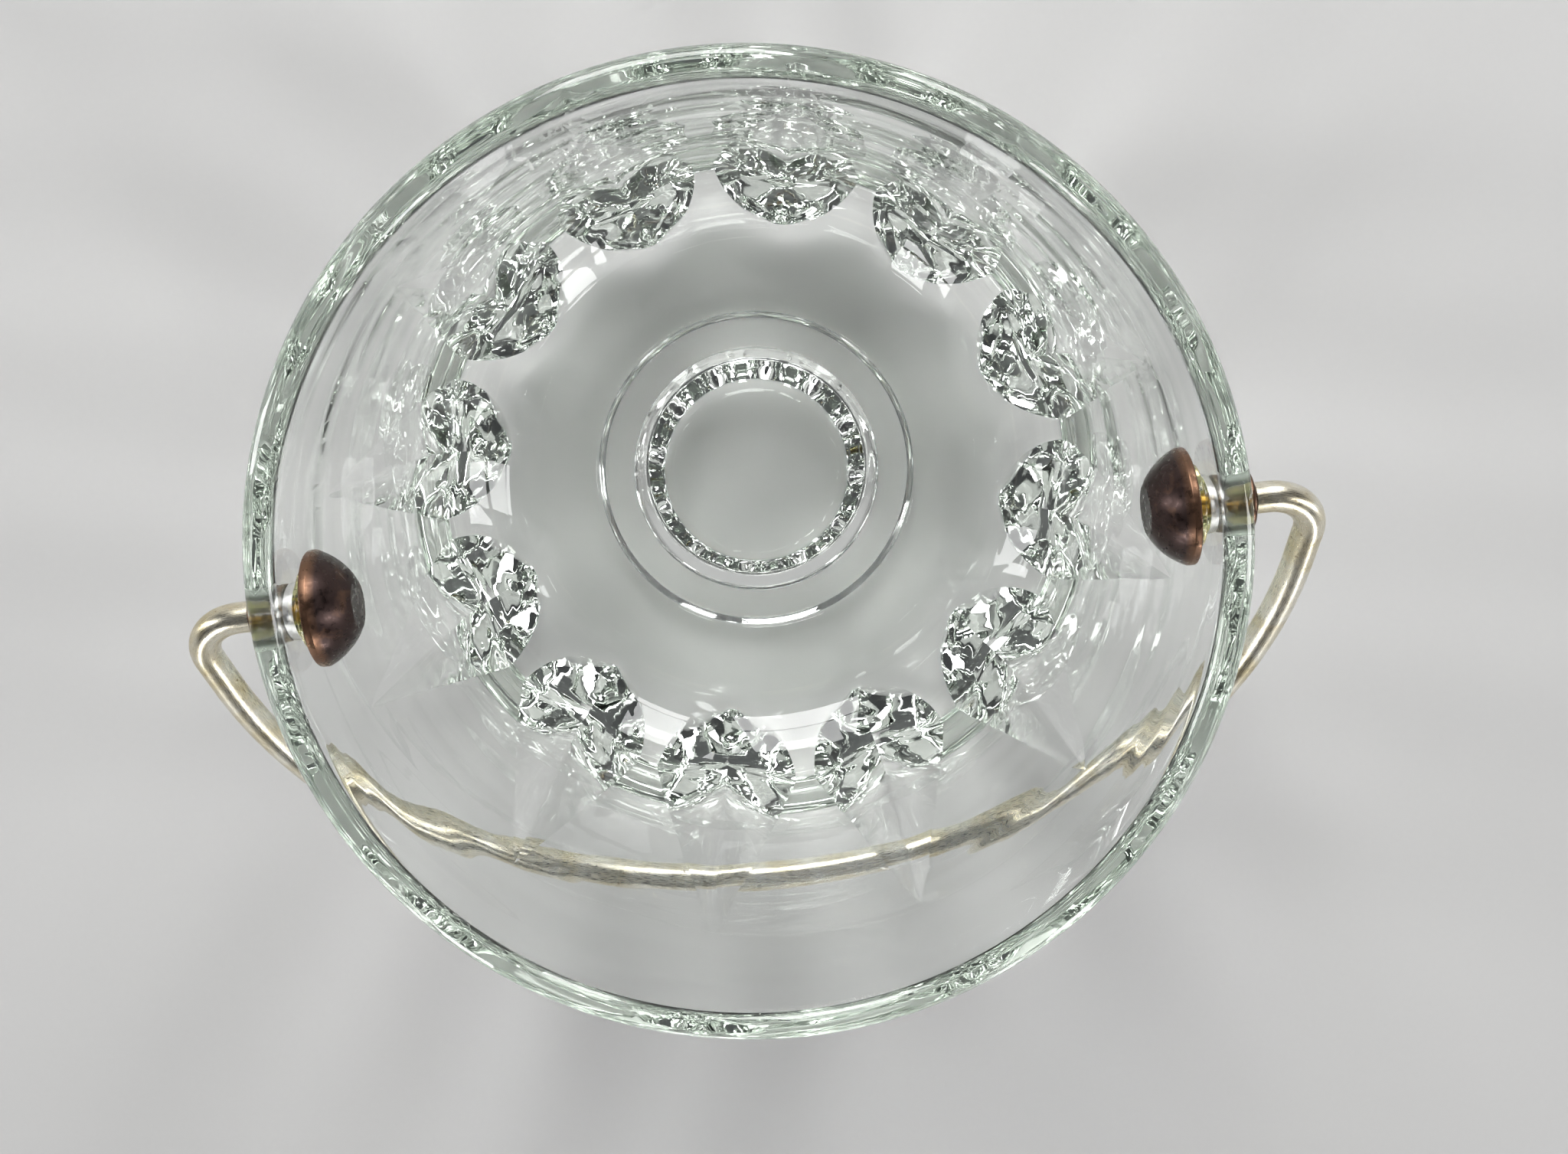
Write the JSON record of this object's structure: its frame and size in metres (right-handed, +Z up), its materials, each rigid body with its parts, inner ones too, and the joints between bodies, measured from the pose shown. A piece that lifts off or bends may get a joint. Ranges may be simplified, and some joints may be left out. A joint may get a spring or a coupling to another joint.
{
  "type": "ice bucket",
  "caption": "Round clear glass ice bucket with leaf shaped cuts round its heel, a low foot ring and a swinging metal bail on bushed pivots with domed cap nuts.",
  "frame": {"origin": "middle of the foot ring's underside, on the vessel's axis", "axes": "+Z up along the vessel's axis, X along the bail's pivots, the bail hanging on the -Y side"},
  "size_m": [0.1908, 0.1623, 0.128],
  "materials": {
    "clear_glass": "polished, with bright polished cuts",
    "silver_plate": "worn bright plate with fine scratches",
    "clear_nylon": "clear, slightly yellowed",
    "dark_bronze": "dark oxidised bronze, rubbed to copper on the edges"
  },
  "bodies": {
    "bucket": {"glass_bucket": "clear_glass", "bush_left": "clear_nylon", "bush_right": "clear_nylon"},
    "handle": {"bail": "silver_plate", "collar_left": "dark_bronze", "collar_right": "dark_bronze", "cap_nut_left": "dark_bronze", "cap_nut_right": "dark_bronze"}
  },
  "joints": [
    {"name": "bail_swing", "type": "hinge", "parent": "bucket", "child": "handle", "pos_m": [0, 0, 0.1155], "axis": [-1, 0, 0], "range_deg": [0, 249]}
  ]
}
